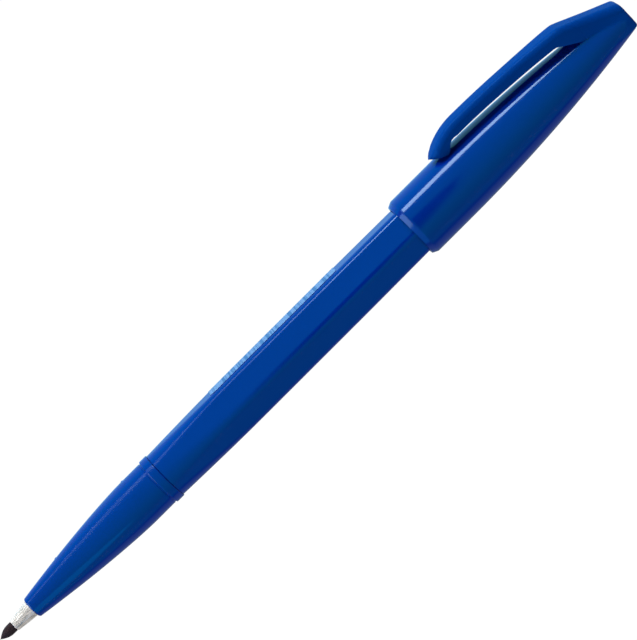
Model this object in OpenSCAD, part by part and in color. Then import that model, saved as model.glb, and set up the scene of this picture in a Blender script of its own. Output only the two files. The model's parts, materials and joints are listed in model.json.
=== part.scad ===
// Fibre-tip calligraphy marker with its cap posted on the barrel's tail.
// The pen lies along +X from the writing point, which is the origin, to the closed end of the cap.

/* [Nib] */
// Radius of the fibre nib's rod
nib_r = 0.96; // [0.8:0.02:0.98]
// Length of the pointed end that stands out of the holder
nib_point_len = 3.3; // [2.6:0.1:4]
// How far behind the writing point the nib's rod ends, inside the reservoir
nib_len = 38; // [36:0.5:40]

/* [Nib holder] */
// Radius of the holder at its bare front end
holder_front_r = 1.12; // [1.1:0.01:1.2]
// Radius of the holder from the nose backwards
holder_r = 1.58; // [1.4:0.01:1.59]
// How far behind the writing point the holder stops
holder_end = 16; // [13:0.5:17]

/* [Grip section] */
// Where the nose of the grip starts behind the writing point
nose_start = 7.5; // [6.5:0.1:8.5]
// Radius of the nose, before its edge is rounded
nose_r = 2.02; // [1.9:0.02:2.3]
// Radius of the grip where it is widest
grip_r = 4.48; // [4.3:0.01:4.55]
// Length from the nose to the collar
grip_len = 30.4; // [29:0.1:32]
// Length of the straight stretch in front of the collar
grip_land_len = 4.9; // [4:0.1:8]
// Radius of the collar that the cap snaps over
collar_r = 4.69; // [4.6:0.01:4.8]
// Length of the collar
collar_len = 1.6; // [1.2:0.1:2.5]

/* [Barrel] */
// Length of the barrel from the collar to the tail plug
barrel_len = 79.8; // [76:0.2:84]
// Largest radius over the softened edges between facets
barrel_r = 4.9; // [4.7:0.01:4.9]
// Distance from the axis to each of the six facets
facet_apothem = 4.47; // [4.35:0.01:4.5]
// Angle of one facet's normal from straight up, towards +Y
facet_lean = 77.5; // [0:0.1:90]
// Radius of the barrel's bore
bore_r = 3.7; // [3.55:0.01:3.75]

/* [Label] */
// Length of the label film
label_len = 30; // [20:1:40]
// Thickness of the label film
label_thick = 0.14; // [0.08:0.01:0.2]

/* [Ink] */
// Radius of the fibre reservoir
reservoir_r = 3; // [2.6:0.05:3.05]
// Length of the fibre reservoir
reservoir_len = 77; // [60:1:78]

/* [Cap] */
// Length of the cap from mouth to closed end
cap_len = 51.9; // [51:0.1:53]
// Radius of the cap's straight skirt
cap_r = 5.86; // [5.8:0.01:6]
// Radius that the cap's closed end tapers to
cap_end_r = 2.66; // [2.6:0.02:2.9]
// How deep the tail sits in the posted cap
post_depth = 24.4; // [24:0.1:24.6]

/* [Clip] */
// Angle that the clip leans from straight up, towards +Y
clip_lean = 62; // [0:1:90]
// Width of the clip's arm
clip_w = 3.6; // [3:0.1:3.8]
// Thickness of the clip's arm at its free end
clip_thick = 2.17; // [1.9:0.01:2.3]
// Height of the clip's crown above the pen's axis
clip_crown_r = 9.75; // [9.65:0.01:10]

/* [Hidden] */

pen_blue = [0.02, 0.30, 0.66];
facets_per_turn = 96;

// Gap between pressed-together pieces, and between pieces that slide or turn.
press_gap = 0.02;
slide_gap = 0.06;

// Stations along the pen, as distances from the writing point.
collar_front = nose_start + grip_len;
collar_back = collar_front + collar_len;
barrel_back = collar_back + barrel_len;
plug_len = 3.5;
tail_end = barrel_back + plug_len;
mouth_x = tail_end - post_depth;
cap_top = mouth_x + cap_len;

// Grip section.
nose_round = 0.4;
neck_r = 1.1;
neck_end = holder_end + 2;
chamber_r = 2.2;
seat_start = 30;
seat_r = 3.2;
spigot_r = bore_r - press_gap;
spigot_len = 8.5;
edge = 0.15;
holder_edge = 0.08;

// Nib: the length over which its point rounds out to the full radius.
ogive_len = 2.4;

// Barrel: the round blank swells from the collar and narrows again towards the tail.
swell_end = 54.6;
swell = 0.41;
waist_start = 83.5;
waist = 0.22;
rib_count = 6;
rib_w = 0.5;
rib_start = 50;
rib_end = 110;

// Reservoir and its film.
reservoir_start = 33;
film_thick = 0.08;
reservoir_end = reservoir_start + reservoir_len;

// Tail plug.
plug_r = 4.6;
plug_round = 0.6;
plug_spigot_start = 112;
plug_hollow_r = 2.6;
plug_hollow_end = 118;

// Label: across the facet, from near its upper edge to past its lower edge.
label_start = 54.6;
label_upper = -1.75;
label_lower = 3.2;

// Cap: rounded lip, straight skirt, then a taper to the closed end.
lip_r = 5.24;
lip_len = 1.1;
skirt_end = mouth_x + 9.9;
top_round = 0.6;
cap_wall = 0.75;
cap_bore_r = 4.95;
cap_bore_end = barrel_back + 0.3;
tail_seat_r = plug_r + slide_gap;
tail_seat_end = tail_end + 1.8;
cap_hollow_end = cap_top - 6;

// Inner cap.
liner_flange_r = 4.58;
liner_flange_len = 1;
liner_start = tail_end + 0.8;
liner_r = 3.85;
liner_wall = 0.5;
liner_gap = 0.12;
liner_end = cap_top - 7.5;
liner_floor = 1;

// Clip: free end, crown, arm, and the knuckle at its root.
crown_x = mouth_x + 18.2;
knee_x = mouth_x + 40.6;
arm_len = knee_x - crown_x;
arm_drop = 1.33;
arm_drop_power = 1.62;
root_extra = 0.18;
nose_bend = 0.045;
clip_tip_x = mouth_x + 10.9;
foot_start = mouth_x + 12.7;
foot_end = mouth_x + 13.7;
foot_r = cap_r + 0.08;
foot_run_up = 0.6;
foot_rise = 1.4;
knuckle_r = (clip_thick + root_extra) / 2;
knuckle_gap = 0.05;
knuckle_h = clip_outer(knee_x) - knuckle_r;
root_half_w = 2.1;
corner_r = 0.8;

// The slot under the clip closes along a slanted line, which starts at slot_x and slot_r.
slot_x = knee_x - 1.9;
slot_r = 6.26;
slot_slope = 0.667;
wedge_start = knee_x + 0.35;
wedge_end_r = 3.3;
wedge_end_half_w = 2.45;
wedge_limit_r = 3.45;

// Turns +Z into +X, so that a lathe shape or an extrusion lies along the pen.
module along_x() {
    rotate([90, 0, 90]) children();
}

// Turns straight up into the given lean towards +Y.
module lean(angle) {
    rotate([-angle, 0, 0]) children();
}

// Solid of revolution about the pen's axis, from points [radius, distance].
module lathe(points) {
    along_x() rotate_extrude($fn = facets_per_turn) polygon(points);
}

// Plain round rod on the pen's axis.
module rod(radius, start, end) {
    lathe([[0, start], [radius, start], [radius, end], [0, end]]);
}

// Quarter circle from facing -X to facing outwards, about a centre [radius, distance].
function front_round(r, x, size) = [for (a = [0:15:90]) [r + size * sin(a), x - size * cos(a)]];

// Quarter circle from facing outwards to facing +X.
function back_round(r, x, size) = [for (a = [90:-15:0]) [r + size * sin(a), x + size * cos(a)]];

// Evenly spaced values from a to b.
function spread(a, b, count) = [for (i = [0:count]) a + (b - a) * i / count];

function grip_outer(x) =
    grip_r - (grip_r - nose_r) * pow((collar_front - grip_land_len - x)
                                     / (collar_front - grip_land_len - nose_start), 1.5);

function barrel_round(x) =
    x < swell_end ? barrel_r - swell * pow((swell_end - x) / (swell_end - collar_back), 1.4)
    : x > waist_start ? barrel_r - waist * pow((x - waist_start) / (barrel_back - waist_start), 1.2)
    : barrel_r;

function cap_outer(x) =
    cap_r - (cap_r - cap_end_r) * pow(max(0, x - skirt_end) / (cap_top - skirt_end), 2);

function liner_outer(x) = min(liner_r, cap_outer(x) - cap_wall - liner_gap);

// Height of the clip's outer surface above the pen's axis.
function clip_outer(x) =
    x < crown_x ? clip_crown_r - nose_bend * pow(crown_x - x, 2)
    : clip_crown_r - arm_drop * pow((x - crown_x) / arm_len, arm_drop_power);

// Height of the clip's underside.
function clip_inner(x) =
    clip_outer(max(x, crown_x)) - clip_thick - root_extra * max(0, x - crown_x) / arm_len;

// Height of the roof that runs from the clip's root down to the cap's closed end.
function roof(x) =
    clip_outer(knee_x) - (clip_outer(knee_x) - wedge_end_r) * (x - knee_x) / (cap_top - knee_x);

// Height of the slot's closed end.
function slot_end(x) = slot_r - slot_slope * (x - slot_x);

module nib() {
    color([0.06, 0.06, 0.07])
        lathe(concat([for (x = spread(0, ogive_len, 8)) [nib_r * (1 - pow(1 - x / ogive_len, 2)), x]],
                     [[nib_r, nib_len], [0, nib_len]]));
}

module nib_holder() {
    color([0.86, 0.88, 0.90])
        difference() {
            lathe([[0, nib_point_len],
                   [holder_front_r - holder_edge, nib_point_len],
                   [holder_front_r, nib_point_len + holder_edge],
                   [holder_r, nose_start],
                   [holder_r, holder_end],
                   [0, holder_end]]);
            rod(nib_r + press_gap / 2, nib_point_len - 1, holder_end + 1);
        }
}

module grip_section() {
    color(pen_blue)
        difference() {
            lathe(concat([[0, nose_start]],
                         front_round(grip_outer(nose_start + nose_round) - nose_round,
                                     nose_start + nose_round, nose_round),
                         [for (x = spread(nose_start + 1, collar_front - grip_land_len, 12))
                             [grip_outer(x), x]],
                         [[grip_r, collar_front],
                          [collar_r - edge, collar_front],
                          [collar_r, collar_front + edge],
                          [collar_r, collar_back - edge],
                          [collar_r - edge, collar_back],
                          [spigot_r, collar_back],
                          [spigot_r, collar_back + spigot_len],
                          [0, collar_back + spigot_len]]));
            rod(holder_r + press_gap, nose_start - 1, holder_end + press_gap);
            rod(neck_r, holder_end - 1, neck_end + 1);
            rod(chamber_r, neck_end, seat_start + 1);
            rod(seat_r, seat_start, collar_back + spigot_len + 1);
        }
}

// Outer form of the barrel: six facets on a swelling round blank, grown outwards by a given amount.
module barrel_form(grow) {
    intersection() {
        lathe(concat([[0, collar_back + press_gap]],
                     [for (x = spread(collar_back + press_gap, swell_end, 6)) [barrel_round(x) + grow, x]],
                     [for (x = spread(waist_start, barrel_back, 6)) [barrel_round(x) + grow, x]],
                     [[0, barrel_back]]));
        along_x()
            rotate(60 - facet_lean)
                linear_extrude(tail_end)
                    circle(r = (facet_apothem + grow) / cos(30), $fn = 6);
    }
}

module barrel() {
    color(pen_blue) {
        difference() {
            barrel_form(0);
            rod(bore_r, collar_front, tail_end);
        }
        for (i = [0:rib_count - 1])
            rotate([i * 360 / rib_count, 0, 0])
                translate([rib_start, -rib_w / 2, reservoir_r + film_thick + 2 * press_gap])
                    cube([rib_end - rib_start, rib_w, bore_r - reservoir_r]);
    }
}

module label_film() {
    color([0.45, 0.66, 0.88])
        intersection() {
            difference() {
                barrel_form(label_thick);
                barrel_form(press_gap);
            }
            lean(facet_lean)
                translate([label_start, label_upper, 0])
                    cube([label_len, label_lower - label_upper, 2 * barrel_r]);
        }
}

module tail_plug() {
    color(pen_blue)
        difference() {
            lathe(concat([[0, plug_spigot_start],
                          [spigot_r, plug_spigot_start],
                          [spigot_r, barrel_back + press_gap],
                          [plug_r, barrel_back + press_gap]],
                         back_round(plug_r - plug_round, tail_end - plug_round, plug_round),
                         [[0, tail_end]]));
            rod(plug_hollow_r, plug_spigot_start - 1, plug_hollow_end);
        }
}

module ink_reservoir() {
    color([0.16, 0.20, 0.30])
        difference() {
            rod(reservoir_r, reservoir_start, reservoir_end);
            rod(nib_r + press_gap, reservoir_start - 1, nib_len + press_gap);
        }
}

module reservoir_film() {
    color([0.80, 0.86, 0.92])
        difference() {
            rod(reservoir_r + film_thick, reservoir_start, reservoir_end);
            rod(reservoir_r + press_gap / 2, reservoir_start - 1, reservoir_end + 1);
        }
}

module inner_cap() {
    color([0.85, 0.89, 0.93])
        difference() {
            lathe(concat([[0, liner_start],
                          [liner_flange_r, liner_start],
                          [liner_flange_r, liner_start + liner_flange_len]],
                         [for (x = spread(liner_start + liner_flange_len, liner_end, 10))
                             [liner_outer(x), x]],
                         [[0, liner_end]]));
            lathe(concat([[0, liner_start - 1],
                          [liner_outer(liner_start) - liner_wall, liner_start - 1]],
                         [for (x = spread(liner_start + liner_flange_len, liner_end - liner_floor, 9))
                             [liner_outer(x) - liner_wall, x]],
                         [[0, liner_end - liner_floor]]));
        }
}

// Everything that the cap is hollowed by: the tail's bore, its seat, and the liner's chamber.
module cap_hollow() {
    rod(cap_bore_r, mouth_x - 1, cap_bore_end);
    rod(tail_seat_r, cap_bore_end - 1, tail_seat_end);
    lathe(concat([[0, tail_seat_end - 0.5],
                  [cap_outer(tail_seat_end) - cap_wall, tail_seat_end - 0.5]],
                 [for (x = spread(tail_seat_end, cap_hollow_end, 10)) [cap_outer(x) - cap_wall, x]],
                 [[0, cap_hollow_end]]));
}

// Side view of the wedge under the roof, as points [distance, height above the axis].
module wedge_side() {
    polygon([[wedge_start, roof(wedge_start)],
             [cap_top, wedge_end_r],
             [cap_top, 0],
             [knee_x + 3.4, 0],
             [knee_x + 3.4, slot_end(knee_x + 3.4)],
             [wedge_start, slot_end(wedge_start)]]);
}

// Plan of the wedge, widening from the clip's root to the closed end.
module wedge_plan() {
    polygon([[knee_x, -root_half_w],
             [cap_top, -wedge_end_half_w],
             [cap_top, wedge_end_half_w],
             [knee_x, root_half_w]]);
}

module wedge() {
    intersection() {
        lean(clip_lean)
            rotate([90, 0, 0])
                translate([0, 0, -5])
                    linear_extrude(10) wedge_side();
        lean(clip_lean) linear_extrude(20) wedge_plan();
        lathe([[0, knee_x],
               [clip_outer(knee_x) + 1, knee_x],
               [wedge_limit_r, cap_top],
               [0, cap_top]]);
    }
}

// Round rod across the clip's root, on the line that the clip flexes about.
module knuckle(radius, half_width) {
    lean(clip_lean)
        translate([knee_x, half_width, knuckle_h])
            rotate([90, 0, 0])
                cylinder(r = radius, h = 2 * half_width, $fn = 48);
}

module cap_shell() {
    color(pen_blue)
        difference() {
            union() {
                lathe(concat([[0, mouth_x]],
                             [for (a = [0:15:90])
                                 [lip_r + (cap_r - lip_r) * sin(a), mouth_x + lip_len * (1 - cos(a))]],
                             [for (x = spread(skirt_end, cap_top - top_round, 14)) [cap_outer(x), x]],
                             back_round(cap_end_r - top_round, cap_top - top_round, top_round),
                             [[0, cap_top]]));
                wedge();
            }
            cap_hollow();
            knuckle(knuckle_r + knuckle_gap, 5);
        }
}

// Side view of the clip: outer surface, root, underside, foot and slanted end face.
module clip_side() {
    polygon(concat([for (x = spread(clip_tip_x, crown_x, 8)) [x, clip_outer(x)]],
                   [for (x = spread(crown_x + 3, knee_x, 6)) [x, clip_outer(x)]],
                   [[knee_x, slot_end(knee_x)]],
                   [for (x = spread(slot_x, foot_end + foot_rise, 8)) [x, clip_inner(x)]],
                   [[foot_end + 0.3, foot_r + 0.3],
                    [foot_end, foot_r],
                    [foot_start, foot_r],
                    [foot_start - foot_run_up, foot_r + 0.4]]));
}

// Plan of the clip: rounded corners at the free end, wider at the root.
module clip_plan() {
    half_w = clip_w / 2;
    polygon(concat([for (a = [180:15:270])
                       [clip_tip_x + corner_r + corner_r * cos(a), -half_w + corner_r + corner_r * sin(a)]],
                   [[knee_x - 9, -half_w],
                    [knee_x + 2, -root_half_w],
                    [knee_x + 2, root_half_w],
                    [knee_x - 9, half_w]],
                   [for (a = [90:15:180])
                       [clip_tip_x + corner_r + corner_r * cos(a), half_w - corner_r + corner_r * sin(a)]]));
}

module clip() {
    color(pen_blue) {
        intersection() {
            lean(clip_lean)
                rotate([90, 0, 0])
                    translate([0, 0, -5])
                        linear_extrude(10) clip_side();
            lean(clip_lean) linear_extrude(20) clip_plan();
        }
        knuckle(knuckle_r, root_half_w);
    }
}

barrel();
label_film();
tail_plug();
grip_section();
nib_holder();
nib();
ink_reservoir();
reservoir_film();
inner_cap();
cap_shell();
clip();
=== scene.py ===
"""A calligraphy marker in blue plastic, lying on a white floor with its cap posted on the tail.

Sizes are in millimetres until a mesh is made. X runs along the pen from the writing point at 0,
r is the distance from the pen's axis, and a lean is the angle from straight up towards +Y.
"""

import json
import math

import bmesh
import bpy
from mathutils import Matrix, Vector


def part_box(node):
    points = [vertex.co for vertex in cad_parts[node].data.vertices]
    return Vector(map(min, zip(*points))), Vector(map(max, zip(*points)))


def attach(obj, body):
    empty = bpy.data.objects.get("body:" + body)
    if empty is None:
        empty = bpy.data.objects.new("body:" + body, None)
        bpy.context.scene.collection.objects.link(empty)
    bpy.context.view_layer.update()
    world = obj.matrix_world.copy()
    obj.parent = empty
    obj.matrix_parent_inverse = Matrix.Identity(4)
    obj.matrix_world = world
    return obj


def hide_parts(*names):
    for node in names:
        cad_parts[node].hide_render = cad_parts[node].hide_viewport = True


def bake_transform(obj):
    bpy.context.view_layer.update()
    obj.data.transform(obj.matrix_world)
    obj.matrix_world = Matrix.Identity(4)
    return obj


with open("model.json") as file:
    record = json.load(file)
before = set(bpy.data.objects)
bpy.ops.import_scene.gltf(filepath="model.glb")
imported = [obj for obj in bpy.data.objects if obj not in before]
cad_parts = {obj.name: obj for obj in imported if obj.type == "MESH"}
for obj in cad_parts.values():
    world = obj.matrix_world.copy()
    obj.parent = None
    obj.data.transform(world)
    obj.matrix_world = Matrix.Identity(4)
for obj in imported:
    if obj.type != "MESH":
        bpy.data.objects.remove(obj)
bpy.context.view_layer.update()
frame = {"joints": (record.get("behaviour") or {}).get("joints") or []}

MM = 0.001


def span(node):
    """Where a CAD node starts and ends along the pen, in mm."""
    low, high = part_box(node)
    return low.x / MM, high.x / MM


# The frame's own lengths.
NIB_TAIL = span("nib")[1]
HOLDER_FRONT, HOLDER_BACK = span("nib_holder")
GRIP_FRONT, GRIP_BACK = span("grip_section")
BARREL_FRONT, BARREL_BACK = span("barrel")
LABEL_FRONT, LABEL_BACK = span("label_film")
PLUG_FRONT, PLUG_BACK = span("tail_plug")
RESERVOIR_FRONT, RESERVOIR_BACK = span("ink_reservoir")
INNER_FRONT, INNER_BACK = span("inner_cap")
CAP_MOUTH, CAP_END = span("cap_shell")

# Nib.
NIB_R = 0.96
NIB_POINT_LENGTH = 2.4

# Grip section: a bulged cone, a straight land and a collar.
GRIP_R = 4.48
NOSE_R = 2.02
LAND_FRONT = 33.0
COLLAR_FRONT = 37.9
COLLAR_BACK = 39.5
COLLAR_R = 4.69

# Barrel: six flats with rounded edges between them, inside a round blank.
FLAT_APOTHEM = 4.52
FLAT_LEAN = 77.5
FLAT_ROUND = 1.5
HALF_FLAT = math.radians(30)
BLANK_R = 5.06
FLATS_FULL_X = 57.0
TAIL_TAPER_X = 83.5
BARREL_BORE_R = 3.7

# Cap.
CAP_R = 5.86
CAP_TAPER_X = CAP_MOUTH + 9.9
CAP_LEAN = 62.0
WEDGE_FRONT = 142.3

# Clip, in the cap's clip plane.
ARM_HALF_WIDTH = 1.8
ROOT_HALF_WIDTH = 2.1
ARM_EDGE = 1.1
CLIP_TIP_X = 108.8
CLIP_CREST_X = 116.6
CLIP_CREST_R = 9.77
KNEE_X = 139.57
KNEE_R = 8.33
ROOF_SLOPE = -0.465
SLOT_X = 137.1
SLOT_R = 6.17
SLOT_SLOPE = -0.667


# ---------------------------------------------------------------- mesh building

def lerp(a, b, t):
    return a + (b - a) * t


def smooth(low, high, value):
    """0 below low, 1 above high, and a smooth step between them."""
    t = min(1.0, max(0.0, (value - low) / (high - low)))
    return t * t * (3 - 2 * t)


def between(low, high, count):
    """count + 1 evenly spaced values from low to high."""
    return [lerp(low, high, i / count) for i in range(count + 1)]


def point(x, lean, r):
    """The point at x and r, on the side that leans by lean degrees."""
    a = math.radians(lean)
    return (x, r * math.sin(a), r * math.cos(a))


def clip_point(x, r, side):
    """The point at x and r in the clip's plane, moved sideways towards larger leans."""
    a = math.radians(CAP_LEAN)
    return (
        x,
        r * math.sin(a) + side * math.cos(a),
        r * math.cos(a) - side * math.sin(a),
    )


def leans(count):
    """count evenly spaced angles round the pen, in degrees."""
    return [360 * i / count for i in range(count)]


def rounded(outline, steps=5):
    """An outline of (x, r) or (x, r, corner radius), with its corners turned into arcs.

    A point just outside each arc keeps the straight stretches shading flat.
    """
    made = []
    last = len(outline) - 1
    shortest_hold = 0.004
    for i, corner in enumerate(outline):
        here = Vector(corner[:2])
        if len(corner) < 3 or i in (0, last):
            made.append(tuple(here))
            continue
        before = Vector(outline[i - 1][:2]) - here
        after = Vector(outline[i + 1][:2]) - here
        room = 0.45 * min(before.length, after.length)
        before.normalize()
        after.normalize()
        half = before.angle(after) / 2
        reach = min(corner[2] / math.tan(half), room)
        radius = reach * math.tan(half)
        centre = here + (before + after).normalized() * (radius / math.sin(half))
        start = here + before * reach - centre
        turn = math.pi - 2 * half
        side = 1 if start.x * after.y - start.y * after.x > 0 else -1
        hold = min(0.3 * reach, room - reach) if room > reach else 0
        if hold > shortest_hold:
            made.append(tuple(here + before * (reach + hold)))
        for k in range(steps + 1):
            a = side * turn * k / steps
            made.append((
                centre.x + start.x * math.cos(a) - start.y * math.sin(a),
                centre.y + start.x * math.sin(a) + start.y * math.cos(a),
            ))
        if hold > shortest_hold:
            made.append(tuple(here + after * (reach + hold)))
    return made


def skin(rings, loop=False):
    """Vertices and faces over a row of rings. A ring of one point closes an end."""
    verts, faces, starts = [], [], []
    for ring in rings:
        starts.append(len(verts))
        verts.extend(ring)
    pairs = list(zip(range(len(rings) - 1), range(1, len(rings))))
    if loop:
        pairs.append((len(rings) - 1, 0))
    for i, j in pairs:
        count = max(len(rings[i]), len(rings[j]))
        for k in range(count):
            n = (k + 1) % count
            if len(rings[i]) == 1:
                faces.append((starts[i], starts[j] + n, starts[j] + k))
            elif len(rings[j]) == 1:
                faces.append((starts[i] + k, starts[i] + n, starts[j]))
            else:
                faces.append((starts[i] + k, starts[i] + n, starts[j] + n, starts[j] + k))
    return verts, faces


def plate(top, bottom):
    """Vertices and faces of a thin closed plate between two grids of points."""
    rows, columns = len(top), len(top[0])
    verts = [p for grid in (top, bottom) for row in grid for p in row]
    under = rows * columns
    faces = []
    for i in range(rows - 1):
        for j in range(columns - 1):
            a = i * columns + j
            quad = (a, a + 1, a + columns + 1, a + columns)
            faces.append(quad)
            faces.append(tuple(under + v for v in reversed(quad)))
    edge = list(range(columns))
    edge += [i * columns + columns - 1 for i in range(1, rows)]
    edge += [(rows - 1) * columns + j for j in range(columns - 2, -1, -1)]
    edge += [i * columns for i in range(rows - 2, 0, -1)]
    for k, a in enumerate(edge):
        b = edge[(k + 1) % len(edge)]
        faces.append((a, b, under + b, under + a))
    return verts, faces


def make_piece(name, shape, material, sharp=40):
    """A mesh object, in metres, from vertices and faces in mm."""
    verts, faces = shape
    mesh = bpy.data.meshes.new(name)
    mesh.from_pydata([tuple(c * MM for c in v) for v in verts], [], faces)
    bm = bmesh.new()
    bm.from_mesh(mesh)
    bmesh.ops.recalc_face_normals(bm, faces=bm.faces[:])
    bm.to_mesh(mesh)
    bm.free()
    mesh.shade_smooth()
    mesh.set_sharp_from_angle(angle=math.radians(sharp))
    mesh.materials.append(material)
    obj = bpy.data.objects.new(name, mesh)
    bpy.context.scene.collection.objects.link(obj)
    return obj


def lathe(outline, loop=True, count=160, shape=None):
    """A turned shape. shape(x, r, lean) may move a point's r, for flutes, flats and pips."""
    rings = []
    for x, r in outline:
        if r < 1e-6:
            rings.append([(x, 0.0, 0.0)])
            continue
        rings.append([
            point(x, lean, shape(x, r, lean) if shape else r) for lean in leans(count)
        ])
    return skin(rings, loop)


# ---------------------------------------------------------------- materials

class Surface:
    """A material's node tree, with short calls to add nodes to it."""

    def __init__(self, name):
        self.material = bpy.data.materials.new(name)
        self.material.use_nodes = True
        self.tree = self.material.node_tree
        self.tree.nodes.clear()
        self.shader = self.add("ShaderNodeBsdfPrincipled")
        out = self.add("ShaderNodeOutputMaterial")
        self.link(self.shader, "BSDF", out, "Surface")
        self.coords = self.add("ShaderNodeTexCoord")

    def add(self, kind, **values):
        """A node; a value named for an input is set on it, and any other is a property."""
        node = self.tree.nodes.new(kind)
        for key, value in values.items():
            socket = node.inputs.get(key.replace("_", " "))
            if socket is not None:
                socket.default_value = value
            else:
                setattr(node, key, value)
        return node

    def link(self, a, out, b, into):
        self.tree.links.new(a.outputs[out], b.inputs[into])

    def set(self, **values):
        """Constants on the shader's own sockets."""
        for key, value in values.items():
            self.shader.inputs[key.replace("_", " ")].default_value = value

    def noise(self, size, stretch=(1, 1, 1), detail=4, roughness=0.5):
        """Noise whose features are about size mm, drawn out along the axes by stretch."""
        scale = self.add("ShaderNodeMapping")
        scale.inputs["Scale"].default_value = [1 / (size * MM * s) for s in stretch]
        self.link(self.coords, "Object", scale, "Vector")
        made = self.add("ShaderNodeTexNoise", Scale=1.0, Detail=detail, Roughness=roughness)
        self.link(scale, "Vector", made, "Vector")
        return made

    def ramp(self, source, out, low, high, to_low, to_high):
        """The source's values from low to high, mapped to values from to_low to to_high."""
        made = self.add("ShaderNodeMapRange")
        made.inputs["From Min"].default_value = low
        made.inputs["From Max"].default_value = high
        made.inputs["To Min"].default_value = to_low
        made.inputs["To Max"].default_value = to_high
        self.link(source, out, made, "Value")
        return made

    def colours(self, source, out, *stops):
        """A colour ramp over (place, colour) stops."""
        made = self.add("ShaderNodeValToRGB")
        elements = made.color_ramp.elements
        while len(elements) < len(stops):
            elements.new(0.5)
        for element, (place, colour) in zip(elements, stops):
            element.position = place
            element.color = (*colour, 1)
        self.link(source, out, made, "Fac")
        return made

    def bump(self, source, out, height, normal=None):
        """Bump from a 0 to 1 source, height in mm."""
        made = self.add("ShaderNodeBump", Strength=1.0)
        made.inputs["Distance"].default_value = height * MM
        self.link(source, out, made, "Height")
        if normal:
            self.link(normal, "Normal", made, "Normal")
        return made


def blue_plastic(name, gloss, dull, level, tint, green):
    """Injection-moulded plastic: faint tone drift, orange peel and rubbed hairlines.

    gloss and dull are the roughness between and on the hairlines. green is the base colour's.
    """
    s = Surface(name)
    s.set(IOR=1.46, Specular_IOR_Level=level, Specular_Tint=tint)
    tone = s.noise(9, stretch=(3, 1, 1), detail=3)
    colour = s.colours(
        tone, "Fac",
        (0.3, (0.0, 0.93 * green, 0.240)),
        (0.7, (0.0, 1.07 * green, 0.259)),
    )
    s.link(colour, "Color", s.shader, "Base Color")
    hairline = s.noise(0.12, stretch=(60, 1, 1), detail=2)
    rubbed = s.ramp(hairline, "Fac", 0.35, 0.75, gloss, dull)
    s.link(rubbed, "Result", s.shader, "Roughness")
    peel = s.noise(0.9, detail=2)
    first = s.bump(peel, "Fac", 0.0003)
    second = s.bump(hairline, "Fac", 0.00002, first)
    s.link(second, "Normal", s.shader, "Normal")
    return s.material


def label_print():
    """A glossy label, with plain ticks for its print."""
    s = Surface("label")
    s.set(IOR=1.5, Roughness=0.22)
    place = s.add("ShaderNodeSeparateXYZ")
    s.link(s.coords, "Object", place, "Vector")

    def along(size):
        """Noise along the pen only, with features about size mm long."""
        run = s.add("ShaderNodeMath", operation="MULTIPLY")
        run.inputs[1].default_value = 1 / (size * MM)
        s.link(place, "X", run, 0)
        made = s.add("ShaderNodeTexNoise", noise_dimensions="1D", Scale=1.0, Detail=1.0)
        s.link(run, "Value", made, "W")
        return made

    letters = s.ramp(along(0.75), "Fac", 0.47, 0.55, 0.0, 1.0)
    words = s.ramp(along(3.2), "Fac", 0.42, 0.48, 0.0, 1.0)
    print_mask = s.add("ShaderNodeMath", operation="MULTIPLY")
    s.link(letters, "Result", print_mask, 0)
    s.link(words, "Result", print_mask, 1)
    colour = s.colours(
        print_mask, "Value",
        (0.0, (0.100, 0.180, 0.42)),
        (1.0, (0.001, 0.060, 0.27)),
    )
    s.link(colour, "Color", s.shader, "Base Color")
    fine = s.noise(0.25, detail=3)
    s.link(s.bump(fine, "Fac", 0.001), "Normal", s.shader, "Normal")
    return s.material


def natural_plastic():
    """Uncoloured, milky plastic with streaks along the flow."""
    s = Surface("natural_plastic")
    s.set(IOR=1.5)
    streak = s.noise(0.30, stretch=(14, 1, 1), detail=3)
    colour = s.colours(
        streak, "Fac",
        (0.36, (0.33, 0.292, 0.270)),
        (0.46, (0.62, 0.555, 0.520)),
        (0.60, (0.77, 0.690, 0.650)),
    )
    s.link(colour, "Color", s.shader, "Base Color")
    rough = s.ramp(streak, "Fac", 0.3, 0.7, 0.24, 0.4)
    s.link(rough, "Result", s.shader, "Roughness")
    s.link(s.bump(streak, "Fac", 0.01), "Normal", s.shader, "Normal")
    return s.material


def nib_fibre():
    """Bonded fibres soaked in black ink."""
    s = Surface("nib_fibre")
    s.set(IOR=1.4, Specular_IOR_Level=0.25, Specular_Tint=(1, 0.3, 0.3, 1))
    strand = s.noise(0.05, stretch=(20, 1, 1), detail=5, roughness=0.65)
    colour = s.colours(
        strand, "Fac",
        (0.32, (0.011, 0.0055, 0.0065)),
        (0.72, (0.042, 0.026, 0.028)),
    )
    s.link(colour, "Color", s.shader, "Base Color")
    wet = s.ramp(strand, "Fac", 0.3, 0.7, 0.45, 0.8)
    s.link(wet, "Result", s.shader, "Roughness")
    s.link(s.bump(strand, "Fac", 0.015), "Normal", s.shader, "Normal")
    return s.material


def reservoir_fibre():
    """A bundle of pale fibres, stained by the ink that it holds."""
    s = Surface("reservoir_fibre")
    s.set(IOR=1.4, Sheen_Weight=0.2)
    strand = s.noise(0.08, stretch=(30, 1, 1), detail=4)
    stain = s.noise(6, stretch=(3, 1, 1), detail=3)
    mixed = s.add("ShaderNodeMath", operation="MULTIPLY")
    s.link(strand, "Fac", mixed, 0)
    s.link(stain, "Fac", mixed, 1)
    colour = s.colours(
        mixed, "Value",
        (0.12, (0.015, 0.015, 0.02)),
        (0.40, (0.20, 0.20, 0.22)),
    )
    s.link(colour, "Color", s.shader, "Base Color")
    rough = s.ramp(strand, "Fac", 0.3, 0.7, 0.8, 1.0)
    s.link(rough, "Result", s.shader, "Roughness")
    s.link(s.bump(strand, "Fac", 0.03), "Normal", s.shader, "Normal")
    return s.material


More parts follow.
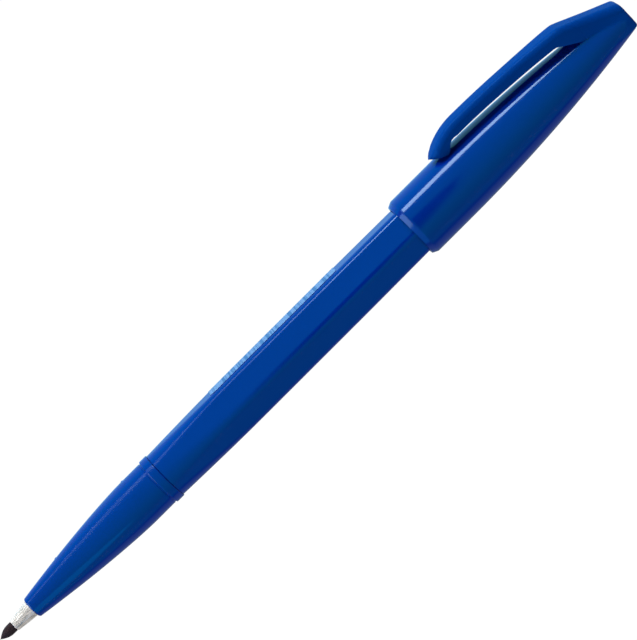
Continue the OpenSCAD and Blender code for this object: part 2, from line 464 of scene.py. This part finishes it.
def clear_film():
    """Thin clear wrapping film with fine creases."""
    s = Surface("clear_film")
    s.set(IOR=1.45, Transmission_Weight=0.9)
    crease = s.noise(1.2, stretch=(5, 1, 1), detail=4)
    colour = s.colours(
        crease, "Fac",
        (0.35, (0.86, 0.88, 0.90)),
        (0.65, (0.97, 0.98, 0.98)),
    )
    s.link(colour, "Color", s.shader, "Base Color")
    rough = s.ramp(crease, "Fac", 0.3, 0.7, 0.05, 0.15)
    s.link(rough, "Result", s.shader, "Roughness")
    s.link(s.bump(crease, "Fac", 0.02), "Normal", s.shader, "Normal")
    return s.material


BLUE = blue_plastic("blue_plastic", 0.06, 0.13, 0.5, (0.85, 0.95, 1, 1), 0.019)
# The satin copy's base colour has twice the green of the glossy one's: painted sheen, in place of
# the cool reflections that its weak, blurred gloss gives back less of.
SATIN_PAINTED_SHEEN = blue_plastic("blue_plastic_satin_painted_sheen", 0.36, 0.48, 0.10, (0.15, 0.7, 1, 1), 0.038)
LABEL = label_print()
NATURAL = natural_plastic()
NIB = nib_fibre()
FIBRE = reservoir_fibre()
FILM = clear_film()


# ---------------------------------------------------------------- the writing end

def nib_r(x):
    """The nib's ogive point, then its rod."""
    return NIB_R * (1 - max(0.0, 1 - x / NIB_POINT_LENGTH) ** 2)


def make_nib():
    """A pointed fibre rod that runs back into the ink."""
    stations = [0.0, 0.015, 0.05, 0.12, 0.22] + between(0.35, NIB_POINT_LENGTH, 14)
    stations += [2.8, 3.6, 12, 24, 37.7]
    outline = [(x, nib_r(x)) for x in stations]
    outline += [(NIB_TAIL - 0.1, 0.95), (NIB_TAIL, 0.85), (NIB_TAIL, 0)]
    facets, facet_share = 9, 0.012

    def faceted(x, r, lean):
        """The fibres end unevenly, so the point is slightly faceted."""
        if not 0.1 < x < 2.9:
            return r
        return r * (1 + facet_share * math.sin(math.radians(lean * facets)))

    nib = make_piece(
        "nib_point", lathe(outline, loop=False, count=72, shape=faceted), NIB
    )
    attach(nib, "pen")
    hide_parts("nib")


def make_nib_holder():
    """A tapered sleeve round the nib, fluted lengthwise behind a plain rim."""
    flutes, flute_depth = 14, 0.05
    bore_r, front_r, back_r = 0.965, 1.10, 1.57
    taper_length = 4.2
    rim_back = HOLDER_FRONT + 0.55
    flutes_back = 7.5

    def r_at(x):
        return front_r + (back_r - front_r) * min(1.0, (x - HOLDER_FRONT) / taper_length)

    outline = [(HOLDER_FRONT, bore_r + 0.01), (HOLDER_FRONT, 1.02), (HOLDER_FRONT + 0.03, 1.06)]
    outline += [(HOLDER_FRONT + 0.08, 1.09), (HOLDER_FRONT + 0.2, r_at(HOLDER_FRONT + 0.2))]
    outline += [(x, r_at(x)) for x in between(rim_back, flutes_back, 22)]
    outline += [(x, back_r) for x in (8, 12, HOLDER_BACK - 0.15)]
    outline += [(HOLDER_BACK, back_r - 0.1), (HOLDER_BACK, bore_r), (9, bore_r)]

    def fluted(x, r, lean):
        if r < 1.0 or x >= flutes_back - 0.01:
            return r
        depth = flute_depth * smooth(rim_back - 0.05, rim_back + 0.35, x)
        return r - depth * (0.5 + 0.5 * math.cos(math.radians(lean * flutes)))

    holder = make_piece(
        "nib_sleeve", lathe(outline, count=168, shape=fluted), NATURAL
    )
    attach(holder, "pen")
    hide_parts("nib_holder")


def grip_r(x):
    """The grip's bulged cone, then its straight land."""
    t = max(0.0, (LAND_FRONT - x) / (LAND_FRONT - GRIP_FRONT))
    return GRIP_R - (GRIP_R - NOSE_R) * t ** 1.5


def make_grip():
    """The front of the pen: the cone, the land, the collar and the spigot in the barrel."""
    nose_round = 0.4
    groove_r = GRIP_R - 0.07
    spigot_r, chamber_r, waist_r, holder_r, nib_gap_r = 3.68, 3.2, 2.2, 1.59, 1.1
    arc = [
        (
            GRIP_FRONT + nose_round * (1 - math.cos(a)),
            grip_r(GRIP_FRONT + nose_round) - nose_round * (1 - math.sin(a)),
        )
        for a in between(0, math.pi / 2, 7)
    ]
    outline = [(GRIP_FRONT, holder_r)] + arc
    pips = ((16.3, 92.0), (33.5, 91.0))
    pip_height, pip_size = 0.11, 0.22
    stations = between(8.4, 37.2, 48)
    for x, _ in pips:
        stations += between(x - 0.5, x + 0.5, 12)
    # Rounded, so that two stations on the same spot become one.
    outline += [(x, grip_r(x)) for x in sorted({round(x, 3) for x in stations})]
    outline += rounded([
        (37.3, GRIP_R),
        (COLLAR_FRONT - 0.36, GRIP_R, 0.05),
        (COLLAR_FRONT - 0.3, groove_r, 0.04),
        (COLLAR_FRONT - 0.12, groove_r, 0.04),
        (COLLAR_FRONT, COLLAR_R, 0.13),
        (COLLAR_BACK, COLLAR_R, 0.13),
        (COLLAR_BACK, spigot_r, 0.02),
        (GRIP_BACK, spigot_r, 0.25),
        (GRIP_BACK, chamber_r, 0.1),
        (30, chamber_r),
        (30, waist_r),
        (18, waist_r),
        (18, nib_gap_r),
        (16.02, nib_gap_r),
        (16.02, holder_r),
        (12, holder_r),
    ], steps=4)

    def pipped(x, r, lean):
        """Two small vestiges of the mould on one side."""
        if r <= waist_r + 0.2:
            return r
        for pip_x, pip_lean in pips:
            side = math.radians(lean - pip_lean) * r
            r += pip_height * math.exp(-((x - pip_x) ** 2 + side ** 2) / pip_size ** 2)
        return r

    grip = make_piece(
        "grip_shell", lathe(outline, count=240, shape=pipped), BLUE
    )
    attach(grip, "pen")
    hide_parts("grip_section")


# ---------------------------------------------------------------- the barrel

def flats_r(lean):
    """The barrel's section: six flats, with arcs over the edges between them."""
    off = math.radians(abs((lean - FLAT_LEAN + 30) % 60 - 30))
    inner = FLAT_APOTHEM - FLAT_ROUND
    if math.tan(off) <= inner * math.tan(HALF_FLAT) / FLAT_APOTHEM:
        return FLAT_APOTHEM / math.cos(off)
    centre = inner / math.cos(HALF_FLAT)
    turn = HALF_FLAT - off
    return centre * math.cos(turn) + math.sqrt(FLAT_ROUND ** 2 - (centre * math.sin(turn)) ** 2)


def barrel_r(x, lean):
    """The barrel's surface: the flats, narrowed by the blank in front and tapered behind."""
    front_length, front_drop = 17.5, 0.56
    tail_length, tail_drop = 35.8, 0.22
    blank = BLANK_R - front_drop * max(0.0, (FLATS_FULL_X - x) / front_length)
    taper = tail_drop * max(0.0, (x - TAIL_TAPER_X) / tail_length) ** 1.2
    # The lower of the two, with a slightly soft change from one to the other.
    crease = 60
    return (flats_r(lean) ** -crease + blank ** -crease) ** (-1 / crease) - taper


def make_barrel():
    """The six-sided tube, from its front rim over the outside and back through the bore."""
    round_r = 0.12
    rings = []

    def ring(x, inset):
        rings.append([point(x, lean, barrel_r(x, lean) - inset) for lean in leans(360)])

    for a in between(0, math.pi / 2, 4):
        ring(BARREL_FRONT + round_r * (1 - math.cos(a)), round_r * (1 - math.sin(a)))
    for x in [BARREL_FRONT + 0.25] + between(40.2, 56, 26) + between(58, 82, 8):
        ring(x, 0)
    for x in between(84, BARREL_BACK - 0.4, 18):
        ring(x, 0)
    for a in between(0, math.pi / 2, 4):
        ring(BARREL_BACK - round_r * (1 - math.sin(a)), round_r * (1 - math.cos(a)))

    bore = rounded([
        (BARREL_BACK, 4.2),
        (BARREL_BACK, BARREL_BORE_R, 0.1),
        (BARREL_FRONT, BARREL_BORE_R, 0.1),
        (BARREL_FRONT, 4.1),
    ], steps=3)
    for x, r in bore[1:-1]:
        rings.append([point(x, lean, r) for lean in leans(360)])
    barrel = make_piece("barrel_shell", skin(rings, loop=True), BLUE)
    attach(barrel, "pen")
    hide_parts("barrel")


def make_label():
    """A thin film on one flat, wrapped over the edge beside it."""
    thick, bed = 0.09, 0.02
    corner = 0.8
    low_turn, high_turn = -21.6, 42.0
    turns = between(low_turn, high_turn, 64)
    rows = between(0, 1, 60)
    top, bottom = [], []
    for t in rows:
        upper, lower = [], []
        for turn in turns:
            lean = FLAT_LEAN + turn
            to_edge = math.radians(min(turn - low_turn, high_turn - turn)) * FLAT_APOTHEM
            d = max(0.0, 1 - to_edge / corner)
            trim = corner * (1 - math.sqrt(max(0.0, 1 - d * d)))
            x = lerp(LABEL_FRONT + trim, LABEL_BACK - trim, t)
            r = barrel_r(x, lean)
            upper.append(point(x, lean, r + thick))
            lower.append(point(x, lean, r - bed))
        top.append(upper)
        bottom.append(lower)
    label = make_piece("label_sheet", plate(top, bottom), LABEL)
    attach(label, "pen")
    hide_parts("label_film")


def make_tail_plug():
    """The stopper in the barrel's tail, hollow towards the ink, with a flange behind."""
    body_r, hollow_r, flange_r = 3.68, 2.6, 4.6
    flange_front = PLUG_BACK - 3.48
    outline = rounded([
        (PLUG_FRONT, 0),
        (PLUG_FRONT, hollow_r, 0.1),
        (PLUG_FRONT + 0.001, body_r, 0.3),
        (flange_front, body_r, 0.03),
        (flange_front, flange_r, 0.1),
        (PLUG_BACK, flange_r, 0.6),
        (PLUG_BACK, 0.9, 0.05),
        (PLUG_BACK - 0.06, 0.8, 0.05),
        (PLUG_BACK - 0.06, 0),
    ])
    hollow_end = PLUG_FRONT + 6
    hollow = rounded([
        (hollow_end, 0),
        (hollow_end, hollow_r, 0.3),
        (PLUG_FRONT, hollow_r, 0.1),
        (PLUG_FRONT, 3.0),
    ])[:-1]
    # The outer line without its part over the hollow's mouth.
    outer = [(x, r) for x, r in outline if r > hollow_r + 0.3 or x > flange_front]
    plug = make_piece(
        "tail_stopper", lathe(hollow + outer, loop=False), BLUE
    )
    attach(plug, "pen")
    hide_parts("tail_plug")


def make_reservoir():
    """The ink-soaked bundle and the film round it."""
    bundle_r, hole_r, hole_back = 3.0, 0.96, 38.02
    outline = [(hole_back, 0), (hole_back, hole_r), (RESERVOIR_FRONT, hole_r)]
    outline += rounded([
        (RESERVOIR_FRONT, 1.2),
        (RESERVOIR_FRONT, bundle_r, 0.3),
        (RESERVOIR_BACK, bundle_r, 0.3),
        (RESERVOIR_BACK, 0),
    ], steps=3)
    strands, strand_depth = 30, 0.012

    def stranded(x, r, lean):
        """Shallow grooves along the outside."""
        if r <= 2.5:
            return r
        return r - strand_depth * (1 + math.sin(math.radians(lean * strands)))

    bundle = make_piece(
        "ink_bundle",
        lathe(outline, loop=False, count=120, shape=stranded),
        FIBRE,
    )
    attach(bundle, "pen")
    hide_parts("ink_reservoir")
    front, back = span("reservoir_film")
    inside, outside = 3.01, 3.08
    film_shape = [(front, inside), (front, outside), (back, outside), (back, inside)]
    film = make_piece("bundle_wrap", lathe(film_shape, count=96), FILM)
    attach(film, "pen")
    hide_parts("reservoir_film")


# ---------------------------------------------------------------- the cap

def cap_r(x):
    """The round part of the cap: a straight skirt, then a cone that bends over."""
    taper_length, taper_drop = 42, 3.2
    return CAP_R - taper_drop * (max(0.0, x - CAP_TAPER_X) / taper_length) ** 2


def roof_r(x):
    """The wedge's roof, behind the clip's knee."""
    return KNEE_R + ROOF_SLOPE * (x - KNEE_X)


def wedge_sides(x):
    """Half widths of the wedge at its roof and at the pen's axis, and its edge radius."""
    top = lerp(ROOT_HALF_WIDTH, 2.3, smooth(142, 150, x))
    base = lerp(ROOT_HALF_WIDTH, 2.85, smooth(141.5, 147, x))
    edge = lerp(ARM_EDGE, 1.5, smooth(139, 147, x))
    return top, base, edge


def wedge_r(x, turn):
    """The wedge's outline round the axis, turn degrees from the clip's plane."""
    a = math.radians(turn)
    up, out = math.cos(a), abs(math.sin(a))
    top, base, edge = wedge_sides(x)
    roof = roof_r(x)
    if up > 0 and roof * out <= (top - edge) * up:
        return roof / up
    # The rounded edge is an arc about (top - edge, roof - edge).
    middle = (top - edge) * out + (roof - edge) * up
    inside = edge ** 2 - (top - edge) ** 2 - (roof - edge) ** 2 + middle ** 2
    if inside > 0:
        r = middle + math.sqrt(inside)
        if r * up >= roof - edge:
            return r
    flare = (base - top) / (roof - edge) if up > 0 else 0.0
    side = base / max(1e-6, out + flare * up)
    # Past the axis the wedge is cut off, well inside the round part.
    depth = 1.5
    return side if up > 0 else min(side, depth / max(1e-6, -up))


def cap_surface(x, turn):
    """The cap's outside: the round part and the wedge, with a soft crease between them."""
    r = cap_r(x)
    if x < WEDGE_FRONT - 0.2:
        return r
    crease = 30
    box = wedge_r(x, turn) * smooth(WEDGE_FRONT - 0.2, WEDGE_FRONT + 0.1, x)
    return (max(box, 0.01) ** crease + r ** crease) ** (1 / crease)


def cap_turns():
    """Angles round the cap from the clip's plane, closer together over the wedge."""
    half = between(0, 14, 14) + between(15, 50, 70) + between(52, 180, 64)
    return half + [-t for t in reversed(half[1:-1])]


def make_cap():
    """The cap's shell with its wedge: the mouth, the outside, the end and then the inside."""
    turns = cap_turns()
    rings = []

    def ring(x, inset=0.0, share=1.0):
        rings.append([
            point(x, CAP_LEAN + t, (cap_surface(x, t) - inset) * share) for t in turns
        ])

    def round_ring(x, r):
        rings.append([point(x, CAP_LEAN + t, r) for t in turns])

    bore_r, bore_back, seat_r, seat_back = 4.95, 119.6, 4.66, INNER_FRONT + 1.0
    round_ring(CAP_MOUTH + 0.25, bore_r)
    round_ring(CAP_MOUTH + 0.08, bore_r + 0.03)
    round_ring(CAP_MOUTH, bore_r + 0.1)
    lip = rounded([
        (CAP_MOUTH, 5.1),
        (CAP_MOUTH, 5.36, 0.06),
        (CAP_MOUTH + 1.0, CAP_R, 0.9),
        (CAP_MOUTH + 2.0, CAP_R),
    ], steps=8)
    for x, r in lip:
        round_ring(x, r)
    stations = between(CAP_MOUTH + 2.5, 108, 6) + between(109, 138, 40)
    stations += between(138.5, 142.0, 10)
    stations += between(WEDGE_FRONT - 0.2, WEDGE_FRONT + 0.1, 6) + between(142.6, 149.6, 36)
    for x in stations:
        ring(x)
    corner = 0.6
    for a in between(0.15, math.pi / 2, 7):
        ring(CAP_END - corner + corner * math.sin(a), corner * (1 - math.cos(a)))
    for share in (0.97, 0.9, 0.75, 0.55):
        ring(CAP_END, corner, share)
    # The gate mark: a shallow round dimple.
    gate_depth = 0.05
    for r, depth in ((0.75, 0), (0.66, 0.01), (0.6, gate_depth), (0.3, gate_depth)):
        round_ring(CAP_END - depth, r)
    rings.append([(CAP_END - gate_depth, 0.0, 0.0)])

    outside = len(rings)
    chamber_back = 144.3
    wall = 0.75
    for r in (1.0, 1.8, cap_r(chamber_back) - wall - 0.3):
        round_ring(chamber_back, r)
    for x in [chamber_back - 0.3] + between(143.5, seat_back + 0.01, 14):
        round_ring(x, min(cap_r(x) - wall, 4.5))
    for x, r in (
        (seat_back, seat_r), (bore_back + 0.15, seat_r), (bore_back, bore_r - 0.1),
        (bore_back - 0.2, bore_r), (CAP_MOUTH + 4, bore_r),
    ):
        round_ring(x, r)
    outer = rings[:outside]
    inner = [[(chamber_back, 0.0, 0.0)]] + rings[outside:]
    cap = make_piece("cap_body", skin(inner + outer), BLUE)
    # The wedge, which stands proud of the round part, has the clip's satin finish and its greener
    # base colour, which is painted sheen.
    proud = 1.012
    cap.data.materials.append(SATIN_PAINTED_SHEEN)
    for face in cap.data.polygons:
        x, y, z = (c / MM for c in face.center)
        if x > WEDGE_FRONT - 0.2 and math.hypot(y, z) > cap_r(x) * proud:
            face.material_index = 1
    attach(cap, "cap")
    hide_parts("cap_shell")


def make_inner_cap():
    """The milky sealing cup inside the cap."""
    flange_r, body_r, wall, floor = 4.58, 3.85, 0.5, 1.0

    def body(x):
        return min(body_r, cap_r(x) - 0.87)

    outline = rounded([
        (INNER_FRONT, body_r - wall, 0.1),
        (INNER_FRONT, flange_r, 0.15),
        (INNER_FRONT + 1, flange_r, 0.15),
        (INNER_FRONT + 1, body_r, 0.1),
        (INNER_FRONT + 3, body_r),
    ], steps=3)[1:]
    stations = between(INNER_FRONT + 4, INNER_BACK - 0.3, 14)
    outline += [(x, body(x)) for x in stations]
    back_r = body(INNER_BACK)
    outline += [(INNER_BACK - 0.05, back_r - 0.12), (INNER_BACK, back_r - 0.35), (INNER_BACK, 0)]
    inside = INNER_BACK - floor
    cup = [(inside, 0), (inside, body(inside) - wall - 0.3), (inside - 0.25, body(inside) - wall)]
    cup += [(x, body(x) - wall) for x in reversed(between(INNER_FRONT + 0.2, inside - 0.8, 14))]
    inner = make_piece(
        "sealing_cup", lathe(cup + outline, loop=False, count=120), NATURAL
    )
    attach(inner, "inner_cap")
    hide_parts("inner_cap")


# ---------------------------------------------------------------- the clip

def clip_top(x):
    """The clip's outer line, from its tip over the crest to the knee and onto the roof."""
    if x < CLIP_CREST_X:
        return CLIP_CREST_R - 0.0385 * (CLIP_CREST_X - x) ** 2.06
    arm_length, arm_drop = 23, 1.42
    arm = CLIP_CREST_R - arm_drop * ((x - CLIP_CREST_X) / arm_length) ** 1.75
    # A soft knee: the lower of the arm's line and the roof's.
    soft = 0.16
    gap = arm - roof_r(x)
    return arm - 0.5 * (gap + math.sqrt(gap * gap + soft * soft))


def clip_under(x):
    """The clip's inner line: slanted end, foot, arm, and the slot's slanted closed end."""
    line = (
        (CLIP_TIP_X, 7.24), (111.5, 6.06), (111.75, 5.97), (111.95, 5.95), (112.15, 6.0),
        (112.4, 6.22), (113.3, 7.14), (113.65, 7.40), (114.0, 7.50), (114.5, 7.53),
    )
    for (x0, r0), (x1, r1) in zip(line, line[1:]):
        if x <= x1:
            return lerp(r0, r1, (x - x0) / (x1 - x0))
    thick = lerp(2.36, 2.52, smooth(CLIP_CREST_X, 130, x))
    arm = clip_top(max(x, CLIP_CREST_X)) - thick
    slot = SLOT_R + SLOT_SLOPE * (x - SLOT_X)
    return min(arm, slot)


def clip_half_width(x):
    """Half the clip's width: a pointed end, a straight arm, and a wider root."""
    point_length = 2.5
    if x < CLIP_TIP_X + point_length:
        before = (CLIP_TIP_X + point_length - x) / point_length
        return ARM_HALF_WIDTH * (1 - before ** 2.6)
    if x > WEDGE_FRONT - 1:
        return wedge_sides(x)[0]
    return lerp(ARM_HALF_WIDTH, ROOT_HALF_WIDTH, smooth(128, 140, x))


def clip_section(x, top, bottom, half):
    """A ring of the clip in the plane at x: strongly rounded outside, crisp underneath."""
    tall = (top - bottom) / 2
    middle = (top + bottom) / 2
    outer = min(wedge_sides(x)[2], 1.5 * tall, 0.9 * half)
    inner = min(0.2, 0.3 * tall, 0.3 * half)
    per_corner, per_side = 8, 7
    corners = ((1, 1, outer), (-1, 1, outer), (-1, -1, inner), (1, -1, inner))
    arcs = []
    for c, (sx, sz, edge) in enumerate(corners):
        arcs.append([
            (sx * (half - edge) + edge * math.cos(a), sz * (tall - edge) + edge * math.sin(a))
            for a in (math.pi / 2 * (c + k / per_corner) for k in range(per_corner + 1))
        ])
    outline = []
    for arc, following in zip(arcs, arcs[1:] + arcs[:1]):
        outline += arc
        (x0, z0), (x1, z1) = arc[-1], following[0]
        outline += [
            (lerp(x0, x1, k / per_side), lerp(z0, z1, k / per_side)) for k in range(1, per_side)
        ]
    return [clip_point(x, middle + high, side) for side, high in outline]


def make_clip():
    """The sprung arm, whose root sits in the wedge."""
    rings = []
    stations = [108.815, 108.85, 108.9, 108.97, 109.06, 109.18, 109.35, 109.6, 109.85]
    stations += between(110.1, 112.5, 16) + between(112.7, 114.5, 10)
    stations += between(115.2, 137.4, 38) + between(137.6, 141.9, 24)
    stations += [142.1, 142.4, 142.8, 143.2]
    deepest = 0.012
    for x in stations:
        # Inside the wedge the clip's root lies just under the cap's own surface.
        sink = deepest * smooth(WEDGE_FRONT - 0.3, WEDGE_FRONT + 0.1, x)
        half = clip_half_width(x) - sink
        rings.append(clip_section(x, clip_top(x) - sink, clip_under(x), half))

    def middle(ring):
        return [tuple(sum(p[i] for p in ring) / len(ring) for i in range(3))]

    rings = [middle(rings[0])] + rings + [middle(rings[-1])]
    clip = make_piece("spring_clip", skin(rings), SATIN_PAINTED_SHEEN)
    x, y, z = next(j for j in frame["joints"] if j["name"] == "clip_flex")["pos_m"]
    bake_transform(clip)
    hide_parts("clip")


make_nib()
make_nib_holder()
make_grip()
make_barrel()
make_label()
make_tail_plug()
make_reservoir()
make_cap()
make_inner_cap()
make_clip()


# ---------------------------------------------------------------- camera, floor and lights

PEN_MIDDLE = 76.6 * MM
# What the plastic mirrors far off past the pen's ends.
FAR_COLOUR = (0.14, 0.36, 0.60)


def make_camera():
    """Straight above the pen, with the pen running to the upper right of the frame."""
    data = bpy.data.cameras.new("camera")
    data.sensor_width = 36
    data.lens = 168.75
    data.clip_end = 20
    camera = bpy.data.objects.new("camera", data)
    camera.location = (PEN_MIDDLE, 0.259 * MM, 0.510)
    camera.rotation_euler = (0, 0, math.radians(-44.94))
    bpy.context.scene.collection.objects.link(camera)
    bpy.context.scene.camera = camera


def backdrop_tree(tree, kind, out_kind):
    """White to the eye, and dimmer in reflections. Returns the dim part."""
    nodes, links = tree.nodes, tree.links
    nodes.clear()
    seen = nodes.new(kind)
    felt = nodes.new(kind)
    plain_white = 1.02
    seen.inputs["Strength"].default_value = plain_white
    path = nodes.new("ShaderNodeLightPath")
    mix = nodes.new("ShaderNodeMixShader")
    out = nodes.new(out_kind)
    links.new(path.outputs["Is Camera Ray"], mix.inputs["Fac"])
    links.new(felt.outputs[0], mix.inputs[1])
    links.new(seen.outputs[0], mix.inputs[2])
    links.new(mix.outputs[0], out.inputs["Surface"])
    return felt


def math_node(tree, operation, *inputs):
    """The output of a math node whose inputs are sockets or numbers."""
    node = tree.nodes.new("ShaderNodeMath")
    node.operation = operation
    for socket, value in zip(node.inputs, inputs):
        if isinstance(value, (int, float)):
            socket.default_value = value
        else:
            tree.links.new(value, socket)
    return node.outputs[0]


def fade(tree, source, near, far, at_near, at_far):
    """A smooth change from at_near to at_far as the source goes from near to far."""
    ramp = tree.nodes.new("ShaderNodeMapRange")
    ramp.interpolation_type = "SMOOTHSTEP"
    values = {"From Min": near, "From Max": far, "To Min": at_near, "To Max": at_far}
    for key, value in values.items():
        ramp.inputs[key].default_value = value
    tree.links.new(source, ramp.inputs["Value"])
    return ramp.outputs["Result"]


def place_nodes(tree, output):
    """X, Y and Z of a texture coordinate."""
    coords = tree.nodes.new("ShaderNodeTexCoord")
    split = tree.nodes.new("ShaderNodeSeparateXYZ")
    tree.links.new(coords.outputs[output], split.inputs["Vector"])
    return split.outputs


def cooled(tree, distance, near, far, colour):
    """The colour, turning to FAR_COLOUR as the distance goes from near to far."""
    mix = tree.nodes.new("ShaderNodeMix")
    mix.data_type = "RGBA"
    share, at_near, at_far = mix.inputs[0], mix.inputs[6], mix.inputs[7]
    tree.links.new(fade(tree, distance, near, far, 0.0, 1.0), share)
    if isinstance(colour, tuple):
        at_near.default_value = (*colour, 1)
    else:
        tree.links.new(colour, at_near)
    at_far.default_value = (*FAR_COLOUR, 1)
    return mix.outputs[2]


def make_floor():
    """A white sheet. Mirrored, it is dim on the near side and bright blue on the lit far side."""
    half = 3.0
    gap = 0.0001
    z = -CAP_R * MM - gap
    mesh = bpy.data.meshes.new("floor")
    corners = [(-half, -half, z), (half, -half, z), (half, half, z), (-half, half, z)]
    mesh.from_pydata(corners, [], [(0, 1, 2, 3)])
    floor = bpy.data.objects.new("floor", mesh)
    bpy.context.scene.collection.objects.link(floor)
    material = bpy.data.materials.new("floor_white")
    material.use_nodes = True
    tree = material.node_tree
    felt = backdrop_tree(tree, "ShaderNodeEmission", "ShaderNodeOutputMaterial")
    place = place_nodes(tree, "Object")
    # The colours run over this width, with the pen's axis at 0.5.
    width = 0.12
    across = math_node(tree, "MULTIPLY_ADD", place["Y"], 1 / width, 0.5)
    past = math_node(tree, "ABSOLUTE", math_node(tree, "SUBTRACT", place["X"], PEN_MIDDLE))
    ramp = tree.nodes.new("ShaderNodeValToRGB")
    stops = (
        (0.0, (0.03, 0.12, 0.11)),
        (0.25, (0.18, 0.26, 0.24)),
        (0.50, (0.22, 0.28, 0.30)),
        (0.54, (0.32, 0.70, 1.00)),
        (0.62, (0.26, 0.74, 1.00)),
        (0.78, (0.12, 0.82, 0.90)),
        (1.0, (0.02, 0.95, 0.88)),
    )
    elements = ramp.color_ramp.elements
    while len(elements) < len(stops):
        elements.new(0.5)
    for element, (position, colour) in zip(elements, stops):
        element.position = position
        element.color = (*colour, 1)
    tree.links.new(across, ramp.inputs["Fac"])
    tinted = cooled(tree, past, 0.12, 0.35, ramp.outputs["Color"])
    tree.links.new(tinted, felt.inputs["Color"])
    mesh.materials.append(material)


def make_world():
    """A cool ceiling for the plastic to mirror, with a dark wedge left over the cap.

    It is drawn over the way that a ray goes: its X, and its lean, which is Y over Z.
    """
    world = bpy.data.worlds.new("studio")
    bpy.context.scene.world = world
    world.use_nodes = True
    world.cycles_visibility.diffuse = False
    tree = world.node_tree
    felt = backdrop_tree(tree, "ShaderNodeBackground", "ShaderNodeOutputWorld")
    way = place_nodes(tree, "Generated")
    endwise = math_node(tree, "ABSOLUTE", way["X"])
    overhead = (0.03, 1.0, 0.85)
    tinted = cooled(tree, endwise, 0.30, 0.60, overhead)
    tree.links.new(tinted, felt.inputs["Color"])
    lean = math_node(tree, "DIVIDE", way["Y"], way["Z"])

    # The dark wedge lies between two lines of lean over X, which close in as X grows.
    blunt_x, begin_x = 0.043, -0.05
    along = math_node(tree, "MAXIMUM", way["X"], blunt_x)
    top = math_node(tree, "MULTIPLY_ADD", along, -8.42, 0.850)
    under = math_node(tree, "MULTIPLY_ADD", along, 16.6, -1.115)
    below_top = fade(tree, math_node(tree, "SUBTRACT", top, lean), -0.04, 0.06, 0.0, 1.0)
    above_under = fade(tree, math_node(tree, "SUBTRACT", lean, under), -0.04, 0.06, 0.0, 1.0)
    begun = fade(tree, way["X"], begin_x, 0.0, 0.0, 1.0)
    wedge = math_node(tree, "MULTIPLY", math_node(tree, "MULTIPLY", below_top, above_under), begun)

    near_side, far_side = 0.45, 0.80
    lit = fade(tree, lean, -2.5, -0.3, near_side, far_side)
    sky = math_node(tree, "MULTIPLY", lit, math_node(tree, "SUBTRACT", 1.0, wedge))
    tree.links.new(sky, felt.inputs["Strength"])


def aim(obj, place, target):
    """Puts a lamp at its place, facing its target."""
    obj.location = place
    obj.rotation_euler = (Vector(target) - Vector(place)).to_track_quat("-Z", "Y").to_euler()


def softbox(name, place, target, wide, tall, radiance, mirrored, colour=(1, 1, 1)):
    """A soft rectangular lamp, unseen by the camera.

    A mirrored one only shows in reflections, and any other one only lights surfaces.
    """
    data = bpy.data.lights.new(name, "AREA")
    data.shape = "RECTANGLE"
    data.size = wide
    data.size_y = tall
    data.energy = radiance * wide * tall * math.pi
    data.color = colour
    lamp = bpy.data.objects.new(name, data)
    aim(lamp, place, target)
    lamp.visible_camera = False
    lamp.visible_glossy = mirrored
    lamp.visible_diffuse = not mirrored
    bpy.context.scene.collection.objects.link(lamp)


def around(away, zenith):
    """y and z at a distance from the pen's axis, zenith degrees from straight up to +Y."""
    a = math.radians(zenith)
    return away * math.sin(a), away * math.cos(a)


def make_lights():
    """The long strip and the panels that the plastic mirrors, and lamps that light surfaces."""
    cool = (0.62, 0.80, 1.0)
    strip_y, strip_z = around(0.5, 67.6)
    strip_tall, step = 0.12, 0.03
    far_end, fade_from, key_from, key_to = -0.265, -0.065, 0.115, 0.30

    def strip(name, low, high, radiance):
        middle = (low + high) / 2
        place, target = (middle, strip_y, strip_z), (middle, 0, 0)
        softbox(name, place, target, high - low, strip_tall, radiance, True, cool)

    # The strip fades out towards the writing end.
    strip("strip_end", far_end, fade_from, 0.7)
    for i, radiance in enumerate((0.7, 0.9, 1.3, 2.3, 4.2, 7.5)):
        strip(f"strip_fade_{i}", fade_from + step * i, fade_from + step * (i + 1), radiance)
    strip("strip_key", key_from, key_to, 12.0)

    # A key over the far side, a fill over the near one, and one for the writing end.
    pen = (PEN_MIDDLE, 0, 0)
    nose = (0.02, 0, 0)
    softbox("key", (PEN_MIDDLE, *around(1.0, 66)), pen, 0.9, 0.35, 15.5, False)
    softbox("fill", (PEN_MIDDLE, *around(1.0, -72)), pen, 1.2, 0.4, 5.6, False)
    softbox("front", (-0.45, 0.25, 0.40), nose, 0.3, 0.3, 4.0, False)

    # Two panels past the writing end, for the cap's rim to mirror.
    mouth = (CAP_MOUTH * MM, 0, 0)
    bright, deep = (0.40, 0.72, 1.0), (0.0, 0.36, 1.0)
    softbox("rim", (-0.583, 0.318, 0.274), mouth, 0.7, 0.6, 4.2, True, bright)
    softbox("rim_low", (-0.50, -0.35, 0.33), mouth, 0.9, 0.8, 1.9, True, deep)


make_camera()
make_floor()
make_world()
make_lights()
bpy.context.scene.view_settings.view_transform = "Standard"
